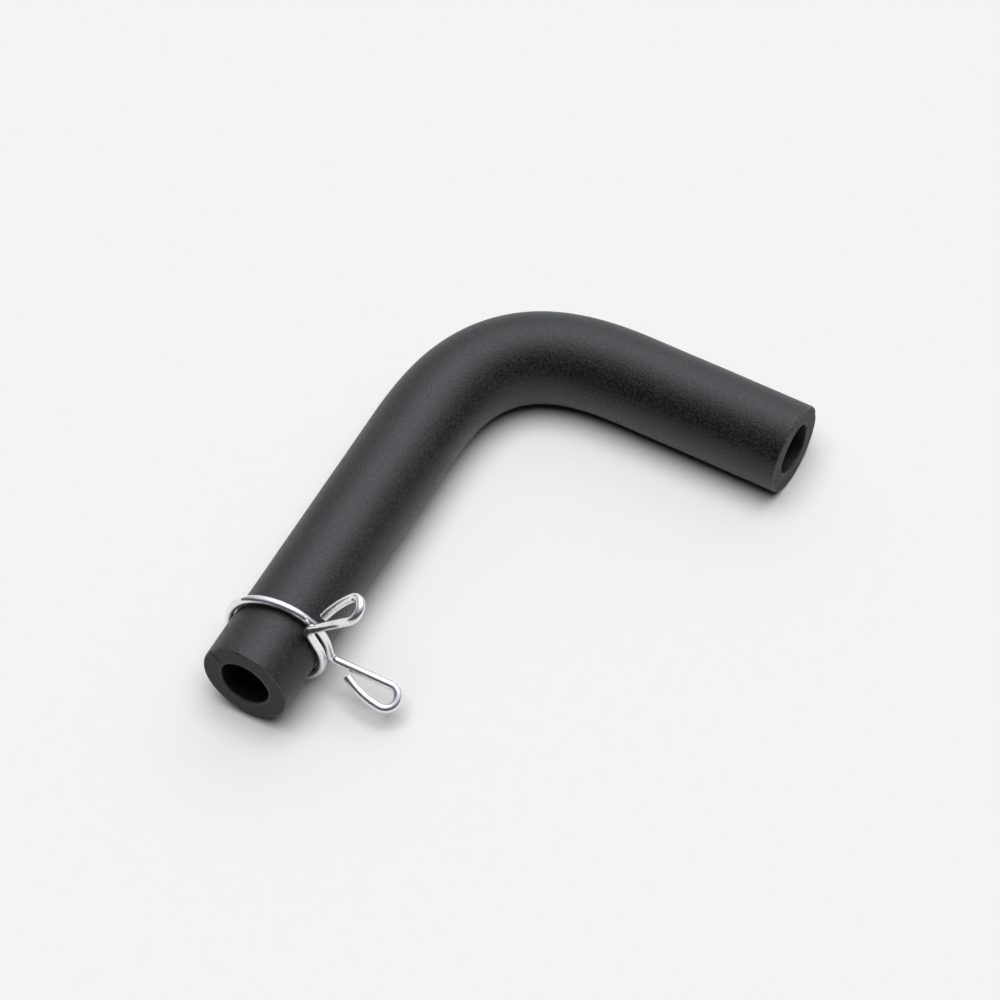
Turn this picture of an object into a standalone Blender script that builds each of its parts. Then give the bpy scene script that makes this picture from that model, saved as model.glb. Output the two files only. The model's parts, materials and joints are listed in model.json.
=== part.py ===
"""Moulded rubber elbow hose with a spring wire clamp near one end.

Units are metres and +Z is up. The plain leg of the hose lies on the ground along Y. The clamped
leg runs towards -X and rises a little, because the clamp's wire passes underneath it. The origin
is on the ground, under the middle of the whole object.
"""

import math

import bmesh
import bpy
from mathutils import Matrix, Vector

MM = 0.001

# Hose
HOSE_OD = 21.0 * MM
HOSE_BORE = 12.0 * MM
CLAMPED_LEG = 115.0 * MM      # corner of the two axes to the end face
PLAIN_LEG = 76.5 * MM
BEND_RADIUS = 24.5 * MM       # at its tightest, along the middle of the hose
BEND_EASE = 30.0 * MM         # over this length the bend tightens, and again eases off
BEND_LENGTH = BEND_RADIUS * math.pi / 2 + BEND_EASE
RIM_BEVEL = 0.4 * MM
HOSE_SIDES = 48
BEND_STEPS = 18

# Clamp ring: a little more than one turn of round wire, whose two ends cross between the ears
WIRE = 2.0 * MM
WIRE_GAP = 0.15 * MM          # clearance between the wire and the hose
RING_RADIUS = HOSE_OD / 2 + WIRE_GAP + WIRE / 2
STATION = 100.6 * MM          # corner of the hose axes to the middle of the ring
EAR_TURN = math.radians(18.3) # how far above level the ears point
LEAN = math.radians(4.0)      # the ring leans back towards the ears
NOD = math.radians(-1.3)      # and its top leans a little away from the hose end
WIRE_SPREAD = 1.53 * MM       # each wire's distance from the ring's middle plane at the ears

# Ears: each wire end turns outwards and is bent round into a teardrop loop
EAR_ROOT = Vector((10.8 * MM, 6.6 * MM, WIRE_SPREAD))
EAR_SPLAY = math.radians(25)
EAR_ROLL = math.radians(21)
EAR_LENGTH = 14.6 * MM
LOOP_RADIUS = 2.75 * MM
LOOP_CLOSES_AT = 5.2 * MM     # the free end stops this far from the root
ROOT_BEND = 2.0 * MM

# The wire flexes mostly in its back, so the arms turn about two points there
FLEX_ANGLE = math.radians(140)
CUT_GAP = 0.3 * MM
RING_STEP = math.radians(6)

# The clamped leg is tipped up until the ring just touches the ground
TILT = math.asin((RING_RADIUS + WIRE / 2 - HOSE_OD / 2) / STATION)
CORNER = Vector((52.35 * MM, 31.94 * MM, HOSE_OD / 2))


def clear_scene():
    for thing in list(bpy.data.objects):
        bpy.data.objects.remove(thing, do_unlink=True)


def material(name, colour, roughness, metallic):
    mat = bpy.data.materials.new(name)
    mat.use_nodes = True
    shader = mat.node_tree.nodes["Principled BSDF"]
    shader.inputs["Base Color"].default_value = (*colour, 1.0)
    shader.inputs["Roughness"].default_value = roughness
    shader.inputs["Metallic"].default_value = metallic
    return mat


def add_object(name, data, matrix, mat):
    part = bpy.data.objects.new(name, data)
    bpy.context.collection.objects.link(part)
    part.matrix_world = matrix
    data.materials.append(mat)
    return part


def turned_after(distance):
    """The angle turned by a distance along the bend. The curvature rises evenly, holds its
    highest value, and falls evenly again, so the elbow has no sudden start."""
    if distance < BEND_EASE:
        return distance**2 / (2 * BEND_EASE * BEND_RADIUS)
    if distance < BEND_LENGTH - BEND_EASE:
        return (distance - BEND_EASE / 2) / BEND_RADIUS
    return math.pi / 2 - turned_after(BEND_LENGTH - distance)


def hose_stations():
    """Frames along the middle of the hose: local X is its direction, local Z is up."""
    substeps = 20
    step = BEND_LENGTH / BEND_STEPS / substeps
    place = Vector((0, 0, 0))
    bend = [(place.copy(), 0.0)]
    for k in range(BEND_STEPS * substeps):
        heading = turned_after((k + 0.5) * step)
        place += step * Vector((math.cos(heading), -math.sin(heading), 0))
        if (k + 1) % substeps == 0:
            bend.append((place.copy(), turned_after((k + 1) * step)))
    corner = Vector((place.x, 0, 0))
    stations = [(Vector((-CLAMPED_LEG, 0, 0)), 0.0)]
    stations += [(point - corner, heading) for point, heading in bend]
    stations.append((Vector((0, -PLAIN_LEG, 0)), math.pi / 2))
    return [Matrix.Translation(point) @ Matrix.Rotation(-turn, 4, "Z") for point, turn in stations]


def rim(bm, station, radius):
    """A circle of vertices across the hose."""
    angles = [2 * math.pi * k / HOSE_SIDES for k in range(HOSE_SIDES)]
    across = [Vector((0, radius * math.cos(a), radius * math.sin(a))) for a in angles]
    return [bm.verts.new(station @ point) for point in across]


def skin(bm, first, second):
    """Quads between two circles."""
    for k in range(HOSE_SIDES):
        after = (k + 1) % HOSE_SIDES
        bm.faces.new((first[k], first[after], second[after], second[k]))


def hose_frame():
    """Where the hose's own axes lie: the corner of its two legs, tipped about the plain leg."""
    return Matrix.Translation(CORNER) @ Matrix.Rotation(TILT, 4, "Y")


def make_hose():
    bm = bmesh.new()
    stations = hose_stations()
    outside = [rim(bm, station, HOSE_OD / 2) for station in stations]
    inside = [rim(bm, station, HOSE_BORE / 2) for station in stations]
    for wall in (outside, inside):
        for first, second in zip(wall, wall[1:]):
            skin(bm, first, second)
    for end in (0, -1):
        skin(bm, outside[end], inside[end])
    bmesh.ops.recalc_face_normals(bm, faces=bm.faces)
    mesh = bpy.data.meshes.new("elbow_hose")
    bm.to_mesh(mesh)
    bm.free()
    mesh.shade_smooth()
    mesh.set_sharp_from_angle(angle=math.radians(40))
    rubber = material("moulded_rubber", (0.030, 0.030, 0.032), 0.62, 0.0)
    hose = add_object("elbow_hose", mesh, hose_frame(), rubber)
    rims = hose.modifiers.new("rims", "BEVEL")
    rims.width = RIM_BEVEL
    rims.segments = 2
    rims.limit_method = "ANGLE"
    rims.angle_limit = math.radians(60)
    return hose


def clamp_frame():
    """An empty in the middle of the ring: local Z along the ring's axis, towards the hose end,
    and local X towards the middle of the two ears."""
    outward = Vector((0, -math.cos(EAR_TURN), math.sin(EAR_TURN)))
    along = Vector((-1, 0, 0))
    axes = Matrix((outward, along.cross(outward), along)).transposed().to_4x4()
    lean = Matrix.Rotation(LEAN, 4, "Z") @ Matrix.Rotation(NOD, 4, "Y")
    frame = bpy.data.objects.new("clamp_frame", None)
    bpy.context.collection.objects.link(frame)
    frame.matrix_world = hose_frame() @ Matrix.Translation((-STATION, 0, 0)) @ lean @ axes
    return frame


def ring_point(angle):
    """A point of the ring's wire. It climbs steadily along the axis, and is level at the back."""
    departs = ear_departs()
    climb = WIRE_SPREAD * (angle + math.pi) / (departs + math.pi)
    return Vector((RING_RADIUS * math.cos(angle), RING_RADIUS * math.sin(angle), climb))


def ear_departs():
    """The angle at which the wire leaves the ring and runs straight to the ear's root."""
    reach = math.hypot(EAR_ROOT.x, EAR_ROOT.y)
    return math.atan2(EAR_ROOT.y, EAR_ROOT.x) - math.acos(RING_RADIUS / reach)


def ring_run(start, stop):
    steps = math.ceil(abs(stop - start) / RING_STEP)
    return [ring_point(start + (stop - start) * k / steps) for k in range(steps + 1)]


def fillet(before, corner, after, radius, steps=6):
    """Points of an arc that rounds one corner of a path."""
    back = (before - corner).normalized()
    ahead = (after - corner).normalized()
    half = back.angle(ahead) / 2
    centre = corner + (back + ahead).normalized() * radius / math.sin(half)
    first = corner + back * radius / math.tan(half) - centre
    turn = math.pi - 2 * half
    axis = back.cross(ahead).normalized()
    return [centre + Matrix.Rotation(-turn * k / steps, 3, axis) @ first for k in range(steps + 1)]


def ear_outline():
    """The teardrop in its own plane: x along the shank from the root, y to the loop's side."""
    middle = Vector((EAR_LENGTH, LOOP_RADIUS))
    free_end = Vector((LOOP_CLOSES_AT, WIRE + CUT_GAP))
    back = free_end - middle
    leaves = math.atan2(back.y, back.x) - math.acos(LOOP_RADIUS / back.length)
    leaves += 2 * math.pi
    steps = 14
    outline = []
    for k in range(steps + 1):
        angle = -math.pi / 2 + (leaves + math.pi / 2) * k / steps
        outline.append(middle + LOOP_RADIUS * Vector((math.cos(angle), math.sin(angle))))
    outline.append((outline[-1] + free_end) / 2)
    outline.append(free_end)
    return outline


def ear_points():
    """The ear's loop in the clamp's frame, after the root."""
    shank = Vector((math.cos(EAR_SPLAY), math.sin(EAR_SPLAY), 0))
    side = Matrix.Rotation(EAR_ROLL, 3, shank) @ Vector((0, 0, -1))
    return [EAR_ROOT + shank * p.x + side * p.y for p in ear_outline()]


def arm_points():
    """One arm of the wire: round half the ring, straight to the root and round the ear."""
    trim = CUT_GAP / 2 / RING_RADIUS
    points = ring_run(-FLEX_ANGLE + trim, ear_departs())
    ear = ear_points()
    points += fillet(points[-1], EAR_ROOT, ear[0], ROOT_BEND)
    return points + ear


def wire(name, points):
    """A round wire along the points, with flat cut ends."""
    curve = bpy.data.curves.new(name, "CURVE")
    curve.dimensions = "3D"
    curve.bevel_depth = WIRE / 2
    curve.bevel_resolution = 4
    curve.use_fill_caps = True
    spline = curve.splines.new("POLY")
    spline.points.add(len(points) - 1)
    for point, place in zip(spline.points, points):
        point.co = (*place, 1.0)
    return curve


def make_clamp():
    """The spring wire as a back bow and two equal arms, each turning about a point of the ring."""
    zinc = material("zinc_plated_wire", (0.78, 0.79, 0.80), 0.22, 1.0)
    frame = clamp_frame()
    trim = CUT_GAP / 2 / RING_RADIUS
    bow = wire("clamp_back_bow", ring_run(FLEX_ANGLE - 2 * math.pi + trim, -FLEX_ANGLE - trim))
    pivot = ring_point(-FLEX_ANGLE)
    arm = wire("clamp_arm", [point - pivot for point in arm_points()])
    placed = add_object("clamp_back_bow", bow, frame.matrix_world, zinc)
    placed.parent = frame
    placed.matrix_parent_inverse = frame.matrix_world.inverted()
    arm.materials.append(zinc)
    half_turn = Matrix.Rotation(math.pi, 4, "X")
    for name, turned in (("clamp_lower_arm", Matrix()), ("clamp_upper_arm", half_turn)):
        part = bpy.data.objects.new(name, arm)
        bpy.context.collection.objects.link(part)
        part.parent = frame
        part.matrix_local = turned @ Matrix.Translation(pivot)


def main():
    clear_scene()
    make_hose()
    make_clamp()


main()
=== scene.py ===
# %% [markdown]
# # An elbow hose with a spring wire clamp
# The real object is two things: a length of thick black rubber hose moulded into an elbow, and one
# bent piece of bright zinc-plated wire that grips it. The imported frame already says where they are
# and how the clamp slides and opens, so this lesson only makes the surfaces that a person sees.

# %% Load the frame
import json
import math

import bpy
import numpy as np
from mathutils import Matrix, Vector


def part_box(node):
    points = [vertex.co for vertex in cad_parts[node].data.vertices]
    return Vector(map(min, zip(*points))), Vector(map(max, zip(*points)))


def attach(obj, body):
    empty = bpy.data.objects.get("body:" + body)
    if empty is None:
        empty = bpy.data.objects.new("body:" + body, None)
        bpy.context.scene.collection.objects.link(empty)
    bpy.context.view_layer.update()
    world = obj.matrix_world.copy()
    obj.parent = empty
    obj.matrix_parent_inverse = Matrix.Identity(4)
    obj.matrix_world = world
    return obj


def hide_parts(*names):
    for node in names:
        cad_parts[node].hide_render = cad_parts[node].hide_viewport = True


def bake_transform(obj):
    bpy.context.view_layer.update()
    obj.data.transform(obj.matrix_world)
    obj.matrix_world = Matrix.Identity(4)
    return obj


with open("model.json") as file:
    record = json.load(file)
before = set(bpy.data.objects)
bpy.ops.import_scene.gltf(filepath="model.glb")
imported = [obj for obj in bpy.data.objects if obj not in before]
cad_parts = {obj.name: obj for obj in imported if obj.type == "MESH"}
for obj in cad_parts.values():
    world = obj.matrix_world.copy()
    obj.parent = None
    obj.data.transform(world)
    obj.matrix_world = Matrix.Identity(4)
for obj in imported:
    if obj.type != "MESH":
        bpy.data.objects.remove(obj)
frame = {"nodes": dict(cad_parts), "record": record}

MM = 0.001
RIGHT_ANGLE = math.pi / 2
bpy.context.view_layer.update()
print("nodes:", ", ".join(sorted(frame["nodes"])))

# %% [markdown]
# ## Where the hose lies
# The hose's own frame has its corner, where the two leg axes cross, at zero, and its legs along -X
# and -Y. The plain leg lies flat. The clamped leg is tipped up a little about it, because the wire
# passes underneath, so the slide joint's axis gives the tilt and the hose's box gives the corner.

# %% Hose sizes and frame
HOSE_RADIUS = 10.5 * MM
BORE_RADIUS = 6.0 * MM
CLAMPED_LEG = 115.0 * MM
PLAIN_LEG = 76.5 * MM
joints = {joint["name"]: joint for joint in frame["record"]["behaviour"]["joints"]}
hose_low, hose_high = (Vector(corner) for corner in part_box("elbow_hose"))
slide_axis = Vector(joints["clamp_slide"]["axis"]).normalized()
tilt = math.asin(slide_axis.z)
hose_corner = Vector((hose_high.x - HOSE_RADIUS, hose_low.y + PLAIN_LEG, HOSE_RADIUS))
hose_frame = Matrix.Translation(hose_corner) @ Matrix.Rotation(tilt, 4, "Y")
print(f"corner at {tuple(round(v / MM, 2) for v in hose_corner)} mm, tilt {math.degrees(tilt):.2f} degrees")


def in_frame(matrix, points):
    """Every point p of an array becomes R p + t, with the matrix's rotation R and place t."""
    turn = np.array(matrix.to_3x3())
    return points @ turn.T + np.array(matrix.translation)


# %% [markdown]
# ## The middle line of the hose
# A moulded elbow has no sudden start: its curvature rises evenly, holds, and falls evenly. Adding
# up the curvature gives the heading, and adding up steps along the heading gives the line. Both are
# running sums over one fine array, so any distance can then be read off with `np.interp`.

# %% Middle line
BEND_RADIUS = 24.5 * MM
BEND_EASE = 30.0 * MM
bend_length = BEND_RADIUS * RIGHT_ANGLE + BEND_EASE
BEND_SAMPLES = 2001
along_bend = np.linspace(0, bend_length, BEND_SAMPLES)


def running_sum(values, steps):
    """The integral of a sampled function: the sum of the steps times the mean of their two ends."""
    return np.concatenate([[0.0], np.cumsum((values[1:] + values[:-1]) / 2 * steps)])


to_nearest_end = np.minimum(along_bend, bend_length - along_bend)
curvature = np.clip(to_nearest_end / BEND_EASE, 0, 1) / BEND_RADIUS
bend_heading = running_sum(curvature, np.diff(along_bend))
bend_x = running_sum(np.cos(bend_heading), np.diff(along_bend))
bend_y = -running_sum(np.sin(bend_heading), np.diff(along_bend))
setback = bend_x[-1]
clamped_straight = CLAMPED_LEG - setback
plain_straight = PLAIN_LEG - setback
hose_length = clamped_straight + bend_length + plain_straight
knots = np.concatenate([[0.0], clamped_straight + along_bend, [hose_length]])
knots_x = np.concatenate([[-CLAMPED_LEG], bend_x - setback, [0.0]])
knots_y = np.concatenate([[0.0], bend_y, [-PLAIN_LEG]])
knots_heading = np.concatenate([[0.0], bend_heading, [RIGHT_ANGLE]])
print(f"middle line {hose_length / MM:.1f} mm, bend {bend_length / MM:.1f} mm of it")


def hose_surface(distance, radius, angle):
    """Points on circles carried along the middle line: the line's point at that distance, plus the
    radius times (cos angle) to its left and (sin angle) upwards. Angle zero is outside the elbow."""
    heading = np.interp(distance, knots, knots_heading)
    x = np.interp(distance, knots, knots_x) + radius * np.cos(angle) * np.sin(heading)
    y = np.interp(distance, knots, knots_y) + radius * np.cos(angle) * np.cos(heading)
    return np.stack([x, y, radius * np.sin(angle)], axis=-1)


# %% [markdown]
# ## Grids into meshes
# Every piece here is a grid of points with rows and columns. One helper turns a grid that closes
# on itself into quads; the arrays of corner numbers are made whole, with no loop over the vertices.

# %% Mesh helpers
def grid_quads(rows, columns, close_rows):
    """Corner numbers of the quads between neighbours of a grid that wraps round its columns."""
    row = np.arange(rows if close_rows else rows - 1)[:, None]
    column = np.arange(columns)[None, :]
    next_row = (row + 1) % rows
    next_column = (column + 1) % columns
    corners = [row * columns + column, row * columns + next_column]
    corners += [next_row * columns + next_column, next_row * columns + column]
    return np.stack(corners, axis=-1).reshape(-1, 4)


def facing_out(points, triangles):
    """Whether the faces point outwards: the tetrahedra from the origin to each face, each a sixth
    of a . (b x c), then add up to a positive volume."""
    a, b, c = (points[triangles[:, k]] for k in range(3))
    return np.einsum("ij,ij->", a, np.cross(b, c)) > 0


def new_mesh(name, points, faces, smooth_limit=50):
    """A mesh object from an array of points and lists of equal-sided faces, shaded smooth."""
    points = points.reshape(-1, 3)
    fans = [f[:, [0, k, k + 1]] for f in faces for k in range(1, f.shape[1] - 1)]
    triangles = np.concatenate(fans)
    if not facing_out(points, triangles):
        faces = [f[:, ::-1] for f in faces]
    mesh = bpy.data.meshes.new(name)
    mesh.from_pydata(points.tolist(), [], [corners for f in faces for corners in f.tolist()])
    mesh.update()
    mesh.shade_smooth()
    mesh.set_sharp_from_angle(angle=math.radians(smooth_limit))
    piece = bpy.data.objects.new(name, mesh)
    bpy.context.collection.objects.link(piece)
    return piece


def add_attribute(piece, name, values):
    """Store one number for each vertex, for a material to read."""
    layer = piece.data.attributes.new(name, "FLOAT", "POINT")
    layer.data.foreach_set("value", np.asarray(values, np.float32).ravel())


def add_vector(piece, name, x, y, z):
    """Store a vector for each vertex, for patterns that have to follow the surface."""
    layer = piece.data.attributes.new(name, "FLOAT_VECTOR", "POINT")
    layer.data.foreach_set("vector", np.stack([x, y, z], axis=-1).astype(np.float32).ravel())


# %% [markdown]
# ## The hose's lengthwise profile
# Cut the hose along its length and straighten it: one wall is a long thin loop. It runs down the
# outside, rounds the rim, crosses the cut face, rounds the edge of the bore and comes back inside.
# Carrying that loop round the hose makes the whole piece one closed skin, with real thickness.

# %% Profile loop
RIM_ROUND = 0.45 * MM
BORE_ROUND = 0.55 * MM
OUTSIDE_ROWS = 150
FACE_ROWS = 14
BORE_ROWS = 60
ROUND_ROWS = 7


def quarter_turn(centre_distance, centre_radius, size, start):
    """A quarter circle in the profile, from a start angle and turning clockwise."""
    angle = start - np.linspace(0, RIGHT_ANGLE, ROUND_ROWS)[1:-1]
    return centre_distance + size * np.cos(angle), centre_radius + size * np.sin(angle)


def straight(first, last, rows):
    """Evenly spaced (distance, radius) pairs from the first to the last."""
    share = np.linspace(0, 1, rows)
    return tuple(a + (b - a) * share for a, b in zip(first, last))


outside = (RIM_ROUND, HOSE_RADIUS)
outside_end = (hose_length - RIM_ROUND, HOSE_RADIUS)
face_far = ((hose_length, HOSE_RADIUS - RIM_ROUND), (hose_length, BORE_RADIUS + BORE_ROUND))
bore_far = (hose_length - BORE_ROUND, BORE_RADIUS)
bore_near = (BORE_ROUND, BORE_RADIUS)
face_near = ((0.0, BORE_RADIUS + BORE_ROUND), (0.0, HOSE_RADIUS - RIM_ROUND))
stretches = [
    ("skin", straight(outside, outside_end, OUTSIDE_ROWS)),
    ("rim", quarter_turn(outside_end[0], face_far[0][1], RIM_ROUND, RIGHT_ANGLE)),
    ("cut", straight(*face_far, FACE_ROWS)),
    ("lip", quarter_turn(bore_far[0], face_far[1][1], BORE_ROUND, 0.0)),
    ("bore", straight(bore_far, bore_near, BORE_ROWS)),
    ("lip", quarter_turn(bore_near[0], face_near[0][1], BORE_ROUND, -RIGHT_ANGLE)),
    ("cut", straight(*face_near, FACE_ROWS)),
    ("rim", quarter_turn(outside[0], face_near[1][1], RIM_ROUND, math.pi)),
]
profile_distance = np.concatenate([pair[0] for _, pair in stretches])
profile_radius = np.concatenate([pair[1] for _, pair in stretches])
profile_zone = np.concatenate([[zone] * len(pair[0]) for zone, pair in stretches])
print(f"profile loop of {len(profile_distance)} points")

# %% [markdown]
# ## The rubber hose
# Real cut rubber is never quite true. The two ends were sliced a degree or so out of square, the
# skin waves by a few hundredths of a millimetre, and where the two halves of the rubber met in the
# mould a fine line crosses each cut face. It is steep at the clamped end and nearly level at the
# plain end, so the columns of points turn slowly along the hose to follow it. Extra columns lie
# close to the line, so that it is a real groove in the mesh and not only a painted one.

# %% Columns round the hose
EVEN_COLUMNS = 150
GROOVE_WIDTH = 0.16 * MM
GROOVE_DEPTH = 0.16 * MM
GROOVE_COLUMNS = 13
near_groove = np.linspace(-3, 3, GROOVE_COLUMNS) * GROOVE_WIDTH / HOSE_RADIUS
even = np.arange(EVEN_COLUMNS) * 2 * math.pi / EVEN_COLUMNS
clear_of_groove = np.abs(np.sin(even)) > 3.4 * GROOVE_WIDTH / HOSE_RADIUS
columns = np.concatenate([even[clear_of_groove], near_groove, math.pi + near_groove])
around = np.sort(columns % (2 * math.pi))
print(f"{len(around)} columns round the hose, {len(around) * len(profile_distance)} vertices")

# %% Uneven surface
CUT_SLANT = (math.radians(1.5), math.radians(1.2))
SLANT_REACH = 8 * MM
SKIN_WAVE = 0.02 * MM
KNIT_TURN = (math.radians(35), math.radians(9))
RIPPLE = (0.05 * MM, 0.03 * MM)
distance, from_knit = np.meshgrid(profile_distance, around, indexing="ij")
angle = from_knit + np.interp(distance, (0, hose_length), KNIT_TURN)
radius = np.meshgrid(profile_radius, around, indexing="ij")[0]
zone = np.meshgrid(profile_zone, around, indexing="ij")[0]


def skin_waves(distance, angle):
    """Slow unevenness of the skin: the sum of three sines that run round and along the hose."""
    long_wave = np.sin(2 * angle + distance / (9.0 * MM))
    cross_wave = np.sin(3 * angle - distance / (6.1 * MM) + 1.0)
    short_wave = 0.5 * np.sin(5 * angle + distance / (3.3 * MM) + 2.0)
    return SKIN_WAVE * (long_wave + cross_wave + short_wave)


def end_weight(distance, end):
    """1 at a cut end, falling smoothly to 0 at SLANT_REACH from it: 1 minus a smoothstep."""
    share = np.clip(np.abs(distance - end) / SLANT_REACH, 0, 1)
    return 1 - share * share * (3 - 2 * share)


def groove_depth(radius, from_knit):
    """A valley along one diameter: a bell curve of the distance from that diameter."""
    aside = radius * np.sin(from_knit)
    return GROOVE_DEPTH * np.exp(-((aside / GROOVE_WIDTH) ** 2))


NICK_DEPTH = 0.45 * MM
NICK_WIDTH = 0.5 * MM
nick_side = (from_knit - 2 * math.pi * (from_knit > math.pi)) * HOSE_RADIUS
from_nick = np.hypot(distance - hose_length, nick_side)
nick = NICK_DEPTH * np.exp(-((from_nick / NICK_WIDTH) ** 2)) * (zone != "bore") * (zone != "lip")
radius = radius + np.where(zone == "skin", skin_waves(distance, angle), 0) - nick
near, far = end_weight(distance, 0.0), end_weight(distance, hose_length)
across = radius * np.cos(angle)
distance = distance + across * (math.tan(CUT_SLANT[0]) * near + math.tan(CUT_SLANT[1]) * far)
ripple = RIPPLE[0] * np.sin(2 * angle + 0.7) + RIPPLE[1] * np.sin(5 * angle)
grooved = {"cut": 1.0, "rim": 0.7, "lip": 0.5}
groove = groove_depth(radius, from_knit) * np.vectorize(lambda name: grooved.get(name, 0.0))(zone)
distance = distance + (groove + ripple) * near - (groove + ripple) * far

# %% The hose piece
hose_points = in_frame(hose_frame, hose_surface(distance, radius, angle))
hose_faces = grid_quads(*angle.shape, close_rows=True)
hose = new_mesh("rubber_elbow_hose", hose_points, [hose_faces])
cut_zone = np.isin(profile_zone, ["cut"])
bore_zone = np.isin(profile_zone, ["bore", "lip"])
face_row = np.repeat(np.arange(len(profile_zone)), len(around))
slots = np.where(cut_zone[face_row], 1, np.where(bore_zone[face_row], 2, 0))
hose.data.polygons.foreach_set("material_index", slots.astype(np.int32))
add_attribute(hose, "edge", np.isin(zone, ["rim", "lip"]))
add_attribute(hose, "knit_line", groove_depth(radius, from_knit) / GROOVE_DEPTH)
add_vector(hose, "skin_place", np.cos(angle), np.sin(angle), distance / MM)
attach(hose, "hose")
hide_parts("elbow_hose")
print(f"hose: {len(hose_faces)} quads in {len(stretches)} stretches")

# %% [markdown]
# ## The spring wire
# The clamp is one wire: a little more than a turn round the hose, whose two ends cross and stick
# out as ears for pliers. It is the same when it is turned over about the line that points midway
# between the ears, so one arm is worked out and the other is the same arm turned half round. The
# two arms meet behind the hose. Squeezing the ears together opens the ring.

# %% Clamp sizes and frame
WIRE_RADIUS = 1.0 * MM
RING_RADIUS = 11.65 * MM
WIRE_SPREAD = 1.53 * MM
EAR_TURN = math.radians(18.3)
LEAN = math.radians(4.0)
NOD = math.radians(-1.3)
STATION = 100.6 * MM
EAR_ROOT = Vector((10.8 * MM, 6.6 * MM, WIRE_SPREAD))
EAR_SPLAY = math.radians(25)
EAR_ROLL = math.radians(21)
EAR_LENGTH = 14.6 * MM
LOOP_RADIUS = 2.75 * MM
LOOP_CLOSES_AT = 5.2 * MM
FREE_END_SIDE = 2.3 * MM
RETURN_BOW = math.radians(14)
ROOT_BEND = 2.0 * MM
outward = Vector((0, -math.cos(EAR_TURN), math.sin(EAR_TURN)))
to_hose_end = Vector((-1, 0, 0))
ring_axes = Matrix((outward, to_hose_end.cross(outward), to_hose_end)).transposed().to_4x4()
ring_lean = Matrix.Rotation(LEAN, 4, "Z") @ Matrix.Rotation(NOD, 4, "Y")
clamp_frame = hose_frame @ Matrix.Translation((-STATION, 0, 0)) @ ring_lean @ ring_axes
print(f"ring centre at {tuple(round(v / MM, 1) for v in clamp_frame.translation)} mm")

# %% [markdown]
# Each arm's path is a few curves end to end: a rising half ring, a straight run to the ear's root,
# a tight bend, the ear's shank, the round of the loop and its bowed return beside the shank.

# %% Path of one arm
PATH_STEP = 0.22 * MM
RING_STEPS = 160
ROOT_STEPS = 16
LOOP_STEPS = 60
RETURN_STEPS = 30
root_reach = math.hypot(EAR_ROOT.x, EAR_ROOT.y)
leaves_ring = math.atan2(EAR_ROOT.y, EAR_ROOT.x) - math.acos(RING_RADIUS / root_reach)


def ring_points(angle):
    """The half ring: a circle whose height rises evenly from zero at the back of the hose."""
    rise = WIRE_SPREAD * (angle + math.pi) / (leaves_ring + math.pi)
    return np.stack([RING_RADIUS * np.cos(angle), RING_RADIUS * np.sin(angle), rise], axis=-1)


def fillet(before, corner, after, radius):
    """An arc that touches both sides of a corner: its centre lies on the corner's bisector."""
    back, ahead = (before - corner).normalized(), (after - corner).normalized()
    half = back.angle(ahead) / 2
    centre = np.array(corner + (back + ahead).normalized() * radius / math.sin(half))
    first = np.array(corner + back * radius / math.tan(half)) - centre
    second = np.cross(np.array(back.cross(ahead).normalized()), first)
    turn = -np.linspace(0, math.pi - 2 * half, ROOT_STEPS)[:, None]
    return centre + first * np.cos(turn) + second * np.sin(turn)


def loop_outline():
    """The teardrop in its own plane: a round at the shank's end, left a little before the straight
    line to the free end would touch it, then a bowed return (1-s)^2 a + 2s(1-s) b + s^2 c, where a
    is the round's end, c the free end, and b lies half the distance between them ahead of a."""
    middle = np.array([EAR_LENGTH, LOOP_RADIUS])
    free_end = np.array([LOOP_CLOSES_AT, FREE_END_SIDE])
    back = free_end - middle
    touch = math.atan2(back[1], back[0]) - math.acos(LOOP_RADIUS / np.hypot(*back)) + 2 * math.pi
    turn = np.linspace(-RIGHT_ANGLE, touch - RETURN_BOW, LOOP_STEPS)
    arc = middle + LOOP_RADIUS * np.stack([np.cos(turn), np.sin(turn)], axis=-1)
    ahead = np.array([-math.sin(turn[-1]), math.cos(turn[-1])])
    control = arc[-1] + ahead * np.hypot(*(free_end - arc[-1])) / 2
    s = np.linspace(0, 1, RETURN_STEPS)[1:, None]
    bowed = (1 - s) ** 2 * arc[-1] + 2 * s * (1 - s) * control + s**2 * free_end
    return np.concatenate([arc, bowed])


def even_path(points, step):
    """The same path with evenly spaced points, read off against the distance along it."""
    lengths = np.linalg.norm(np.diff(points, axis=0), axis=1)
    travelled = np.concatenate([[0.0], np.cumsum(lengths)])
    wanted = np.linspace(0, travelled[-1], int(travelled[-1] / step))
    return np.stack([np.interp(wanted, travelled, points[:, k]) for k in range(3)], axis=-1), wanted


shank = Vector((math.cos(EAR_SPLAY), math.sin(EAR_SPLAY), 0))
loop_side = Matrix.Rotation(EAR_ROLL, 3, shank) @ Vector((0, 0, -1))
outline = loop_outline()
ear = np.array(EAR_ROOT) + outline[:, :1] * np.array(shank) + outline[:, 1:] * np.array(loop_side)
half_ring = ring_points(np.linspace(-math.pi, leaves_ring, RING_STEPS))
root_arc = fillet(Vector(half_ring[-1]), EAR_ROOT, Vector(ear[0]), ROOT_BEND)
arm_path, travelled = even_path(np.concatenate([half_ring, root_arc, ear]), PATH_STEP)
root_at = travelled[np.argmin(np.linalg.norm(arm_path - root_arc[ROOT_STEPS // 2], axis=1))]
print(f"wire in one arm {travelled[-1] / MM:.1f} mm, root bend at {root_at / MM:.1f} mm")

# %% [markdown]
# ## A tube along the path
# A round wire needs a pair of directions across it at every point. Round the ring the ring's own
# axis is always across the wire, and round the loop the loop's normal is. On the straight shank
# both are, a fixed angle apart, so turning the second pair by that angle joins them without a twist
# and the drawing marks run true along the whole wire.

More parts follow.
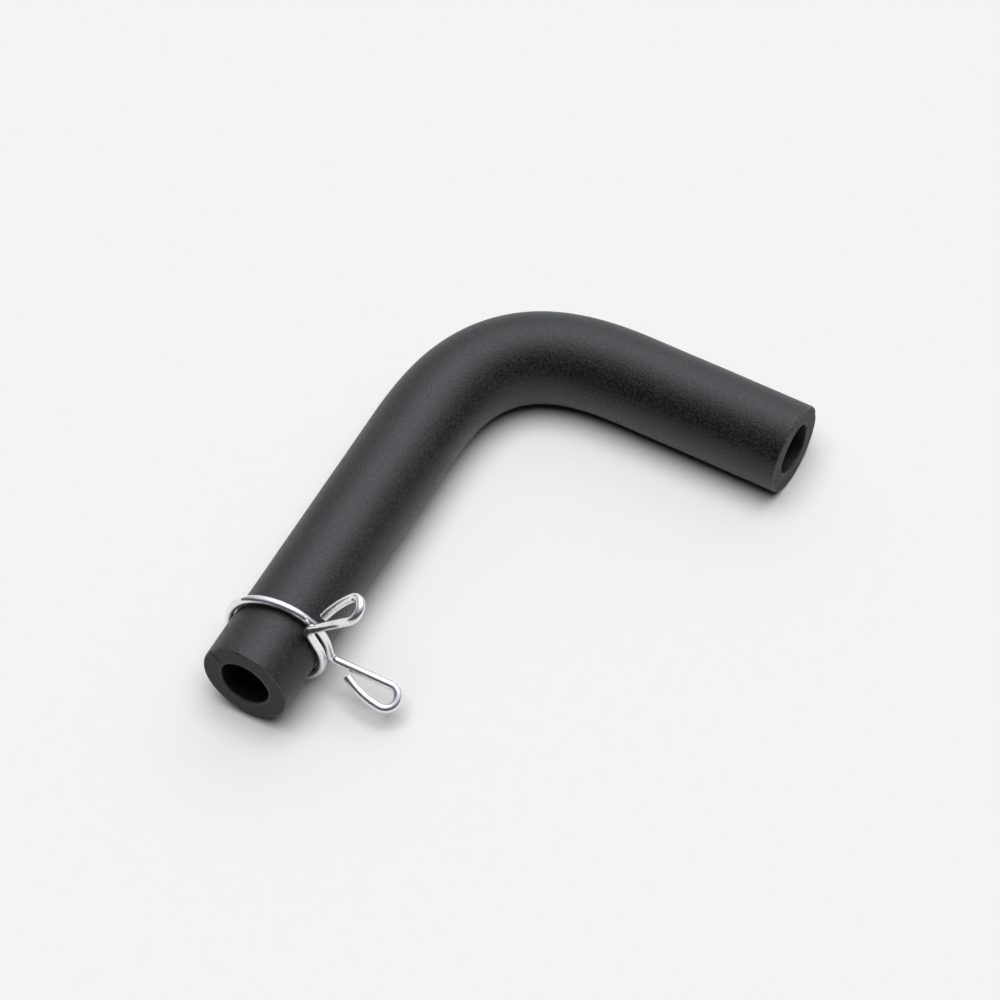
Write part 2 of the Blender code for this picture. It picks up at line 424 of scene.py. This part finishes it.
# %% Directions along and across the wire
WIRE_SIDES = 32
tangent = np.gradient(arm_path, axis=0)
tangent /= np.linalg.norm(tangent, axis=1)[:, None]
loop_normal = shank.cross(loop_side)
ring_axis = Vector((0, 0, 1))
offset = math.atan2(shank.cross(loop_normal).dot(ring_axis), loop_normal.dot(ring_axis))
flat_normal = np.array(loop_normal)
on_loop = math.cos(offset) * flat_normal + math.sin(offset) * np.cross(tangent, flat_normal)
on_ring = np.array(ring_axis) - tangent * tangent[:, 2:]
across_wire = np.where((travelled > root_at + ROOT_BEND)[:, None], on_loop, on_ring)
across_wire /= np.linalg.norm(across_wire, axis=1)[:, None]
beside_wire = np.cross(tangent, across_wire)
print(f"the pairs join {math.degrees(offset):.0f} degrees apart")

# %% [markdown]
# The wire was cropped with a shear: the blade rolls one edge over, tears the rest square and leaves
# a face that is a little hollow. Bending also leaves faint flats where the forming pins pressed. A
# list of rings, each with its own radius, set back or forward, is enough for all of it.

# %% Rings of the wire
END_RADII = np.array([1.0, 0.985, 0.94, 0.86, 0.55, 0.25]) * WIRE_RADIUS
END_ADVANCE = np.array([0.0, 0.05, 0.09, 0.1, 0.07, 0.05]) * MM
SHEAR_LEAN = math.radians(7)
PIN_FLAT = 0.05 * MM
PIN_WIDTH = 1.3 * MM
PINS_PAST_ROOT = np.array([0.0, 8.6, 15.0]) * MM
LEAN_RUN = 2.0 * MM
sides = np.arange(WIRE_SIDES) * 2 * math.pi / WIRE_SIDES
pin_places = root_at + PINS_PAST_ROOT
pin_press = np.exp(-(((travelled[:, None] - pin_places) / PIN_WIDTH) ** 2)).sum(axis=1)
body_radius = WIRE_RADIUS - PIN_FLAT * pin_press[:, None] * np.cos(sides) ** 8
tip_radius = END_RADII[1:, None] + 0 * sides
rings_radius = np.concatenate([body_radius, tip_radius])
rings_middle = np.concatenate([arm_path, arm_path[-1] + END_ADVANCE[1:, None] * tangent[-1]])
rings_across = np.concatenate([across_wire, np.repeat(across_wire[-1:], len(tip_radius), axis=0)])
rings_beside = np.concatenate([beside_wire, np.repeat(beside_wire[-1:], len(tip_radius), axis=0)])
rings_travel = np.concatenate([travelled, travelled[-1] + END_ADVANCE[1:]])


def wire_surface(middle, across, beside, radius, side):
    """Points round a path: the middle, plus the radius times cos(side) across and sin(side) beside."""
    turned = across[:, None] * np.cos(side)[:, None] + beside[:, None] * np.sin(side)[:, None]
    return middle[:, None] + radius[..., None] * turned


wire_points = wire_surface(rings_middle, rings_across, rings_beside, rings_radius, sides)
lean_reach = np.clip((rings_travel - (travelled[-1] - LEAN_RUN)) / LEAN_RUN, 0, 1)
lean_amount = rings_radius * np.sin(sides + 0.6) * math.tan(SHEAR_LEAN) * lean_reach[:, None]
wire_points = wire_points + lean_amount[..., None] * tangent[-1]
wire_points = np.concatenate([wire_points.reshape(-1, 3), arm_path[:1], wire_points[-1:].mean(axis=1)])
print(f"{len(rings_travel)} rings of {WIRE_SIDES} points in one arm")

# %% Faces of the wire
ring_count = len(rings_travel)
wire_quads = grid_quads(ring_count, WIRE_SIDES, close_rows=False)
side_number = np.arange(WIRE_SIDES)
next_side = (side_number + 1) % WIRE_SIDES
last_ring = (ring_count - 1) * WIRE_SIDES
back_pole = np.full(WIRE_SIDES, ring_count * WIRE_SIDES)
back_cap = np.stack([next_side, side_number, back_pole], axis=-1)
tip_cap = np.stack([last_ring + side_number, last_ring + next_side, back_pole + 1], axis=-1)
caps = np.concatenate([back_cap, tip_cap])
print(f"{len(wire_quads)} quads and {len(caps)} cap triangles in one arm")

# %% [markdown]
# The second arm is the first turned half round the line between the ears. Its surface pattern is
# counted the other way along and round, so the two meet behind the hose with no break in the finish.

# %% The two arms
HALF_TURN = Matrix.Rotation(math.pi, 4, "X")


def wire_arm(name, turn, direction):
    """One arm of the clamp as a piece, from the clamp's back to its own ear."""
    frame_now = clamp_frame @ turn
    piece = new_mesh(name, in_frame(frame_now, wire_points), [wire_quads, caps])
    ring_of_face = np.concatenate([np.repeat(np.arange(ring_count - 1), WIRE_SIDES),
                                   np.zeros(WIRE_SIDES, int), np.full(WIRE_SIDES, ring_count)])
    cut_face = ring_of_face >= ring_count - len(END_RADII) + 2
    piece.data.polygons.foreach_set("material_index", cut_face.astype(np.int32))
    side = sides if direction > 0 else math.pi - sides
    side = np.concatenate([np.tile(side, ring_count), [0, 0]])
    along = np.concatenate([np.repeat(rings_travel, WIRE_SIDES), [0, travelled[-1]]])
    add_vector(piece, "skin_place", np.cos(side), np.sin(side), direction * along / MM)
    pressed = np.append(pin_press, np.zeros(len(tip_radius)))
    add_attribute(piece, "edge", np.append(np.repeat(pressed, WIRE_SIDES), [0, 0]))
    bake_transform(piece)
    return piece


first_arm = wire_arm("lower_wire_arm", Matrix.Identity(4), 1)
second_arm = wire_arm("upper_wire_arm", HALF_TURN, -1)
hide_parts("clamp_lower_arm", "clamp_back_bow")
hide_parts("clamp_upper_arm")
print("wire arms:", first_arm.name, "and", second_arm.name)

# %% [markdown]
# ## Finishes that more than one part shares
# Rubber, its cut faces and its bore all carry the same fine mottle, and the rubber's skin and the wire
# carry the same specks of dust. Each effect is a node group, built once, that gives out only values;
# every material places it with its own numbers and keeps its own shader.

# %% Node helpers
def new_group(name, inputs, outputs):
    """An empty node group with named number inputs, each with a default, and named outputs."""
    tree = bpy.data.node_groups.new(name, "ShaderNodeTree")
    for label, kind, default in inputs:
        socket = tree.interface.new_socket(label, in_out="INPUT", socket_type=kind)
        if default is not None:
            socket.default_value = default
    for label in outputs:
        tree.interface.new_socket(label, in_out="OUTPUT", socket_type="NodeSocketFloat")
    return tree, tree.nodes.new("NodeGroupInput"), tree.nodes.new("NodeGroupOutput")


def plug(tree, value, socket):
    """Link an output to a socket, or write a plain value into it."""
    if isinstance(value, bpy.types.NodeSocket):
        tree.links.new(value, socket)
    else:
        socket.default_value = value


def maths(tree, operation, a, b=0.0, clamp=False):
    """One Math node."""
    node = tree.nodes.new("ShaderNodeMath")
    node.operation, node.use_clamp = operation, clamp
    plug(tree, a, node.inputs[0])
    plug(tree, b, node.inputs[1])
    return node.outputs[0]


def noise(tree, place, scale, detail=2.0, roughness=0.5):
    """One Noise Texture node, whose value is about 0.5 on average."""
    node = tree.nodes.new("ShaderNodeTexNoise")
    plug(tree, place, node.inputs["Vector"])
    plug(tree, scale, node.inputs["Scale"])
    node.inputs["Detail"].default_value = detail
    node.inputs["Roughness"].default_value = roughness
    return node.outputs["Fac"]


def step_between(tree, value, low, high, smooth=True):
    """A Map Range node from 0 at low to 1 at high, eased at both ends."""
    node = tree.nodes.new("ShaderNodeMapRange")
    node.interpolation_type = "SMOOTHSTEP" if smooth else "LINEAR"
    plug(tree, value, node.inputs["Value"])
    plug(tree, low, node.inputs["From Min"])
    plug(tree, high, node.inputs["From Max"])
    return node.outputs["Result"]


def attribute(tree, name):
    """An Attribute node for one of the piece's own stored values."""
    node = tree.nodes.new("ShaderNodeAttribute")
    node.attribute_name = name
    return node


def mix_colour(tree, share, first, second):
    """One Mix node between two colours."""
    node = tree.nodes.new("ShaderNodeMix")
    node.data_type = "RGBA"
    plug(tree, share, node.inputs["Factor"])
    plug(tree, first, node.inputs["A"])
    plug(tree, second, node.inputs["B"])
    return node.outputs["Result"]


print("node helpers ready")

# %% [markdown]
# Moulded rubber takes the matt surface of its mandrel: blotches about half a millimetre across, a
# finer grain on them, and slower changes of shade over a centimetre or two.

# %% Mottle group
def build_mottle():
    """Sums two sizes of noise into one height, and gives a third, slower one out as a shade."""
    inputs = [("Vector", "NodeSocketVector", None), ("Blotch Scale", "NodeSocketFloat", 1700.0),
              ("Grain Scale", "NodeSocketFloat", 4200.0), ("Shade Scale", "NodeSocketFloat", 90.0)]
    tree, start, end = new_group("rubber mottle", inputs, ["Height", "Blotch", "Shade"])
    blotch = noise(tree, start.outputs["Vector"], start.outputs["Blotch Scale"], 2.0, 0.6)
    grain = noise(tree, start.outputs["Vector"], start.outputs["Grain Scale"], 2.0, 0.6)
    shade = noise(tree, start.outputs["Vector"], start.outputs["Shade Scale"], 3.0, 0.55)
    height = maths(tree, "ADD", maths(tree, "MULTIPLY", blotch, 0.7), maths(tree, "MULTIPLY", grain, 0.3))
    for value, label in ((height, "Height"), (blotch, "Blotch"), (shade, "Shade")):
        tree.links.new(value, end.inputs[label])
    return tree


mottle_group = build_mottle()
print("group:", mottle_group.name)

# %% [markdown]
# Dust sits as separate specks, not as a fog. The distance to the nearest of many scattered points
# gives round spots, and each point's own random colour lets only some of them through.

# %% Dust group
def build_dust():
    """A spot wherever a scattered point is nearer than Size, kept where that point's random colour is above
    Thinning.
    """
    inputs = [("Vector", "NodeSocketVector", None), ("Scale", "NodeSocketFloat", 500.0),
              ("Size", "NodeSocketFloat", 0.13), ("Thinning", "NodeSocketFloat", 0.55)]
    tree, start, end = new_group("dust specks", inputs, ["Mask"])
    cells = tree.nodes.new("ShaderNodeTexVoronoi")
    tree.links.new(start.outputs["Vector"], cells.inputs["Vector"])
    tree.links.new(start.outputs["Scale"], cells.inputs["Scale"])
    inner = maths(tree, "MULTIPLY", start.outputs["Size"], 0.5)
    spot = maths(tree, "SUBTRACT", 1.0, step_between(tree, cells.outputs["Distance"], inner,
                                                     start.outputs["Size"]))
    split = tree.nodes.new("ShaderNodeSeparateColor")
    tree.links.new(cells.outputs["Color"], split.inputs["Color"])
    chosen = maths(tree, "GREATER_THAN", split.outputs["Red"], start.outputs["Thinning"])
    tree.links.new(maths(tree, "MULTIPLY", spot, chosen), end.inputs["Mask"])
    return tree


dust_group = build_dust()
print("group:", dust_group.name)

# %% [markdown]
# Along every rim the skin is rubbed: paler, and broken up rather than even.

# %% Rubbed edge group
def build_rubbed_edge():
    """The stored edge value times a noise that is stretched between two levels."""
    inputs = [("Vector", "NodeSocketVector", None), ("Edge", "NodeSocketFloat", 0.0),
              ("Scale", "NodeSocketFloat", 700.0), ("Amount", "NodeSocketFloat", 1.0)]
    tree, start, end = new_group("rubbed edge", inputs, ["Mask"])
    broken = step_between(tree, noise(tree, start.outputs["Vector"], start.outputs["Scale"], 3.0), 0.3, 0.7)
    worn = maths(tree, "MULTIPLY", start.outputs["Edge"], broken)
    tree.links.new(maths(tree, "MULTIPLY", worn, start.outputs["Amount"], clamp=True), end.inputs["Mask"])
    return tree


rubbed_group = build_rubbed_edge()
print("group:", rubbed_group.name)

# %% Material helpers
def new_material(name):
    """A material with its Principled shader and a node that gives Object coordinates."""
    material = bpy.data.materials.new(name)
    material.use_nodes = True
    tree = material.node_tree
    place = tree.nodes.new("ShaderNodeTexCoord").outputs["Object"]
    return material, tree, tree.nodes["Principled BSDF"], place


def use_group(tree, group, **values):
    """Place a node group and fill its inputs; an underscore in a name stands for a space."""
    node = tree.nodes.new("ShaderNodeGroup")
    node.node_tree = group
    for name, value in values.items():
        plug(tree, value, node.inputs[name.replace("_", " ")])
    return node.outputs


def bump(tree, shader, *layers):
    """Chain Bump nodes, each with its own height and depth in metres, into the shader's Normal."""
    normal = None
    for height, depth in layers:
        node = tree.nodes.new("ShaderNodeBump")
        node.inputs["Distance"].default_value = depth
        tree.links.new(height, node.inputs["Height"])
        if normal is not None:
            tree.links.new(normal, node.inputs["Normal"])
        normal = node.outputs["Normal"]
    tree.links.new(normal, shader.inputs["Normal"])


def grey(level, blue=0.0):
    """A neutral colour, a little cooler if blue is above 0 and a little warmer below it."""
    return (level * (1 - blue), level * (1 - blue / 3), level * (1 + blue), 1.0)


print("material helpers ready")

# %% [markdown]
# ## Moulded rubber
# Carbon-black rubber is very dark, yet its matt surface still sends back a wide, weak gloss. That
# gloss, and not the colour, is what the eye sees on it, so the roughness changes with the mottle.

# %% Moulded rubber material
PIT_GREY = 0.002
PEAK_GREY = 0.026
SHADE_GREY = 0.013
RUBBED_GREY = 0.075
BLOOM_GREY = 0.060
DUST_GREY = 0.16


def moulded_rubber():
    """Near black, with mottle in the colour, the roughness and the height, and specks of dust."""
    material, tree, shader, place = new_material("moulded_rubber_skin")
    mottle = use_group(tree, mottle_group, Vector=place)
    dust = use_group(tree, dust_group, Vector=place, Scale=560.0, Size=0.12, Thinning=0.90)["Mask"]
    bloom = use_group(tree, dust_group, Vector=place, Scale=1100.0, Size=0.30, Thinning=0.55)["Mask"]
    edge = use_group(tree, rubbed_group, Vector=place, Edge=attribute(tree, "edge").outputs["Fac"],
                     Amount=0.55)["Mask"]
    shade = step_between(tree, mottle["Shade"], 0.3, 0.7)
    patchy = step_between(tree, mottle["Blotch"], 0.35, 0.68)
    blotchy = mix_colour(tree, patchy, grey(PIT_GREY, 0.04), grey(PEAK_GREY, 0.04))
    shaded = mix_colour(tree, maths(tree, "MULTIPLY", shade, 0.3), blotchy, grey(SHADE_GREY, 0.03))
    rubbed = mix_colour(tree, edge, shaded, grey(RUBBED_GREY))
    bloomed = mix_colour(tree, maths(tree, "MULTIPLY", bloom, 0.6), rubbed, grey(BLOOM_GREY))
    tree.links.new(mix_colour(tree, maths(tree, "MULTIPLY", dust, 0.5), bloomed, grey(DUST_GREY)),
                   shader.inputs["Base Color"])
    roughness = maths(tree, "ADD", 0.37, maths(tree, "MULTIPLY", patchy, 0.20))
    tree.links.new(roughness, shader.inputs["Roughness"])
    bump(tree, shader, (mottle["Height"], 0.00014), (dust, 0.00004))
    return material


skin_rubber = moulded_rubber()
hose.data.materials.append(skin_rubber)
print("material:", skin_rubber.name)

# %% [markdown]
# A cut face is greyer and duller than the skin. The knife drags fine parallel scores across it and
# the mould's joint shows as a dark hairline.

# %% Cut rubber material
def cut_rubber():
    """The cut face: stretched noise for knife scores, mottle, and the knit line from its own value."""
    material, tree, shader, place = new_material("cut_rubber")
    mottle = use_group(tree, mottle_group, Vector=place, Blotch_Scale=2200.0)
    stretch = tree.nodes.new("ShaderNodeMapping")
    stretch.inputs["Rotation"].default_value = (0.5, 0.5, 0.0)
    stretch.inputs["Scale"].default_value = (1.0, 1.0, 9.0)
    tree.links.new(place, stretch.inputs["Vector"])
    scores = noise(tree, stretch.outputs["Vector"], 420.0, 3.0, 0.6)
    knit = attribute(tree, "knit_line").outputs["Fac"]
    base = mix_colour(tree, mottle["Blotch"], grey(0.008, 0.02), grey(0.028, 0.02))
    scored = mix_colour(tree, maths(tree, "MULTIPLY", step_between(tree, scores, 0.4, 0.7), 0.4), base,
                        grey(0.034, 0.02))
    tree.links.new(mix_colour(tree, maths(tree, "MULTIPLY", knit, 0.8), scored, grey(0.006)),
                   shader.inputs["Base Color"])
    tree.links.new(maths(tree, "ADD", 0.58, maths(tree, "MULTIPLY", mottle["Blotch"], 0.2)),
                   shader.inputs["Roughness"])
    bump(tree, shader, (mottle["Height"], 0.0005), (scores, 0.0001))
    return material


cut_face_rubber = cut_rubber()
hose.data.materials.append(cut_face_rubber)
print("material:", cut_face_rubber.name)

# %% [markdown]
# The bore was formed on a smooth mandrel, so it is a little glossier, with faint lengthwise drag
# marks where the mandrel was pulled out, and a paler ring at its mouth.

# %% Bore rubber material
def bore_rubber():
    """The bore: noise stretched along the hose, and a rubbed mouth."""
    material, tree, shader, place = new_material("bore_rubber")
    stretch = tree.nodes.new("ShaderNodeMapping")
    stretch.inputs["Scale"].default_value = (6.0, 6.0, 0.05)
    tree.links.new(attribute(tree, "skin_place").outputs["Vector"], stretch.inputs["Vector"])
    drag = noise(tree, stretch.outputs["Vector"], 2.0, 3.0, 0.6)
    mottle = use_group(tree, mottle_group, Vector=place)
    edge = use_group(tree, rubbed_group, Vector=place, Edge=attribute(tree, "edge").outputs["Fac"],
                     Amount=0.45)["Mask"]
    base = mix_colour(tree, drag, grey(0.004), grey(0.010))
    tree.links.new(mix_colour(tree, edge, base, grey(0.085)), shader.inputs["Base Color"])
    tree.links.new(maths(tree, "ADD", 0.42, maths(tree, "MULTIPLY", mottle["Blotch"], 0.2)),
                   shader.inputs["Roughness"])
    bump(tree, shader, (drag, 0.00008), (mottle["Height"], 0.00004))
    return material


inside_rubber = bore_rubber()
hose.data.materials.append(inside_rubber)
print("material:", inside_rubber.name)

# %% [markdown]
# ## Zinc-plated spring wire
# The wire is drawn through a die, which leaves hair-fine lines along it, and then plated, which
# covers them with a bright, slightly cloudy metal. Its look is nearly all reflection, so the lines
# work through the roughness and the height, and handling has dulled it in patches.

# %% Zinc wire material
BRIGHT_ZINC = 0.92
CLOUDED_ZINC = 0.84
SPECK_GREY = 0.42
PRESSED_GREY = 0.55
WIRE_METALLIC = 0.9


def zinc_wire():
    """Bright metal whose roughness and height follow the drawing lines, with dull patches."""
    material, tree, shader, place = new_material("zinc_plated_wire_skin")
    stretch = tree.nodes.new("ShaderNodeMapping")
    stretch.inputs["Scale"].default_value = (4.0, 4.0, 0.08)
    tree.links.new(attribute(tree, "skin_place").outputs["Vector"], stretch.inputs["Vector"])
    lines = noise(tree, stretch.outputs["Vector"], 2.5, 4.0, 0.65)
    cloud = step_between(tree, noise(tree, place, 260.0, 3.0), 0.35, 0.7)
    specks = use_group(tree, dust_group, Vector=place, Scale=1400.0, Size=0.16, Thinning=0.8)["Mask"]
    pressed = use_group(tree, rubbed_group, Vector=place, Edge=attribute(tree, "edge").outputs["Fac"],
                        Scale=1800.0, Amount=0.7)["Mask"]
    bright = mix_colour(tree, cloud, grey(BRIGHT_ZINC, 0.01), grey(CLOUDED_ZINC, 0.015))
    dulled = mix_colour(tree, maths(tree, "MULTIPLY", specks, 0.5), bright, grey(SPECK_GREY, 0.02))
    tree.links.new(mix_colour(tree, maths(tree, "MULTIPLY", pressed, 0.5), dulled, grey(PRESSED_GREY)),
                   shader.inputs["Base Color"])
    shader.inputs["Metallic"].default_value = WIRE_METALLIC
    base = maths(tree, "ADD", 0.03, maths(tree, "MULTIPLY", lines, 0.09))
    rough = maths(tree, "ADD", base, maths(tree, "MULTIPLY", cloud, 0.06))
    tree.links.new(maths(tree, "ADD", rough, maths(tree, "MULTIPLY", specks, 0.25)),
                   shader.inputs["Roughness"])
    bump(tree, shader, (lines, 0.00003), (specks, 0.00001))
    return material


def sheared_steel():
    """The bare cut ends: dark grey torn steel under the plating, with a bright rolled edge."""
    material, tree, shader, place = new_material("sheared_wire_end")
    torn = noise(tree, place, 3600.0, 4.0, 0.7)
    tree.links.new(mix_colour(tree, torn, grey(0.10), grey(0.34)), shader.inputs["Base Color"])
    shader.inputs["Metallic"].default_value = 1.0
    tree.links.new(maths(tree, "ADD", 0.35, maths(tree, "MULTIPLY", torn, 0.3)),
                   shader.inputs["Roughness"])
    bump(tree, shader, (torn, 0.00008))
    return material


wire_finish, end_finish = zinc_wire(), sheared_steel()
for arm in (first_arm, second_arm):
    arm.data.materials.append(wire_finish)
    arm.data.materials.append(end_finish)
print("materials:", wire_finish.name, "and", end_finish.name)

# %% [markdown]
# The frame's own nodes are hidden behind these pieces, but they keep a finish of their own, so that
# they look right if somebody shows them.

# %% Finish on the frame's nodes
for node_name, finish in (("elbow_hose", skin_rubber), ("clamp_back_bow", wire_finish),
                          ("clamp_lower_arm", wire_finish), ("clamp_upper_arm", wire_finish)):
    for node_slot in frame["nodes"][node_name].material_slots:
        node_slot.material = finish
print("frame nodes finished")

# %% [markdown]
# ## Floor, light and camera
# The hose lies on a sheet of pale paper under one very broad, soft light from behind and above, and
# the paper itself fills the shadows from below. The light is a soft patch in a sky that is bright
# behind the object and dim on the camera's side, which leaves the dark band down the middle of the
# rubber and the dark streaks in the wire.

# %% Floor
FLOOR_HALF = 3.0
PAPER_SHADE = 0.2025
floor_mesh = bpy.data.meshes.new("paper_floor")
floor_corners = [(-FLOOR_HALF, -FLOOR_HALF, 0), (FLOOR_HALF, -FLOOR_HALF, 0),
                 (FLOOR_HALF, FLOOR_HALF, 0), (-FLOOR_HALF, FLOOR_HALF, 0)]
floor_mesh.from_pydata(floor_corners, [], [(0, 1, 2, 3)])
floor = bpy.data.objects.new("paper_floor", floor_mesh)
bpy.context.collection.objects.link(floor)
paper, paper_tree, paper_shader, paper_place = new_material("pale_paper")
fibres = noise(paper_tree, paper_place, 260.0, 3.0, 0.6)
FIBRE_STEP = 0.003
PAPER_WARMTH = -0.010
fibre_shades = [grey(PAPER_SHADE + step, PAPER_WARMTH) for step in (-FIBRE_STEP, FIBRE_STEP)]
paper_tree.links.new(mix_colour(paper_tree, fibres, *fibre_shades), paper_shader.inputs["Base Color"])
paper_shader.inputs["Roughness"].default_value = 0.85
floor.data.materials.append(paper)
print("floor laid")

# %% Sky
GLOW_TOWARDS = Vector((0.62, 0.15, 0.77))
SOFTBOX_TOWARDS = Vector((0.50, 0.02, 0.866))
SKY_DIM = 0.04
GLOW_BRIGHT = 0.95
SOFTBOX_BRIGHT = 2.1
SKY_COLOUR = (0.97, 0.985, 1.04, 1.0)
world = bpy.data.worlds.new("studio_sky")
bpy.context.scene.world = world
world.use_nodes = True
sky = world.node_tree
direction = sky.nodes.new("ShaderNodeTexCoord").outputs["Generated"]


def light_patch(centre, edge, middle, strength):
    """Brightness that rises from 0 to strength as the direction nears the patch's centre: a
    smoothstep of the cosine of the angle between them."""
    towards = sky.nodes.new("ShaderNodeVectorMath")
    towards.operation = "DOT_PRODUCT"
    sky.links.new(direction, towards.inputs[0])
    towards.inputs[1].default_value = centre.normalized()
    return maths(sky, "MULTIPLY", step_between(sky, towards.outputs["Value"], edge, middle), strength)


glow = light_patch(GLOW_TOWARDS, 0.10, 0.95, GLOW_BRIGHT)
softbox = light_patch(SOFTBOX_TOWARDS, 0.78, 0.99, SOFTBOX_BRIGHT)
sky.links.new(maths(sky, "ADD", maths(sky, "ADD", glow, softbox), SKY_DIM),
              sky.nodes["Background"].inputs["Strength"])
sky.nodes["Background"].inputs["Color"].default_value = SKY_COLOUR
bpy.context.scene.view_settings.view_transform = "Standard"
print("sky set")

# %% [markdown]
# Real paper is lit by far more than one box: the room's walls and ceiling fill the shadows. A
# second broad light from overhead does that for the paper only, through light linking, so that it
# doesn't wash out the dark band on the rubber or the streaks in the wire.

# %% Overhead fill
FILL_FROM = Vector((-0.06, -0.03, 1.0))
FILL_STRENGTH = 10.0
FILL_DISC = math.radians(50)
fill_data = bpy.data.lights.new("overhead_fill", "SUN")
fill_data.energy, fill_data.angle = FILL_STRENGTH, FILL_DISC
fill = bpy.data.objects.new("overhead_fill", fill_data)
fill.rotation_euler = FILL_FROM.to_track_quat("Z", "Y").to_euler()
bpy.context.collection.objects.link(fill)
fill_receivers = bpy.data.collections.new("lit_by_overhead_fill")
fill_receivers.objects.link(floor)
fill.light_linking.receiver_collection = fill_receivers
print("fill set")

# %% Camera
VIEW_TURN = math.radians(-61.81)
VIEW_HEIGHT = math.radians(54.71)
VIEW_ROLL = math.radians(0.17)
VIEW_DISTANCE = 1.410
LENS = 225.6
SENSOR_WIDTH = 36.0
AIM = Vector((15.28 * MM, 10.56 * MM, 0))
back = Vector((math.sin(VIEW_TURN) * math.cos(VIEW_HEIGHT),
               -math.cos(VIEW_TURN) * math.cos(VIEW_HEIGHT), math.sin(VIEW_HEIGHT)))
right = Vector((math.cos(VIEW_TURN), math.sin(VIEW_TURN), 0))
up = back.cross(right)
level_view = Matrix((right, up, back)).transposed()
camera_data = bpy.data.cameras.new("view_camera")
camera_data.lens, camera_data.sensor_width = LENS, SENSOR_WIDTH
camera = bpy.data.objects.new("view_camera", camera_data)
camera.matrix_world = Matrix.Translation(AIM + back * VIEW_DISTANCE) @ (
    level_view @ Matrix.Rotation(VIEW_ROLL, 3, "Z")).to_4x4()
bpy.context.collection.objects.link(camera)
bpy.context.scene.camera = camera
print(f"camera {VIEW_DISTANCE} m away, {math.degrees(VIEW_HEIGHT):.1f} degrees up")

# %% End
print("scene built")
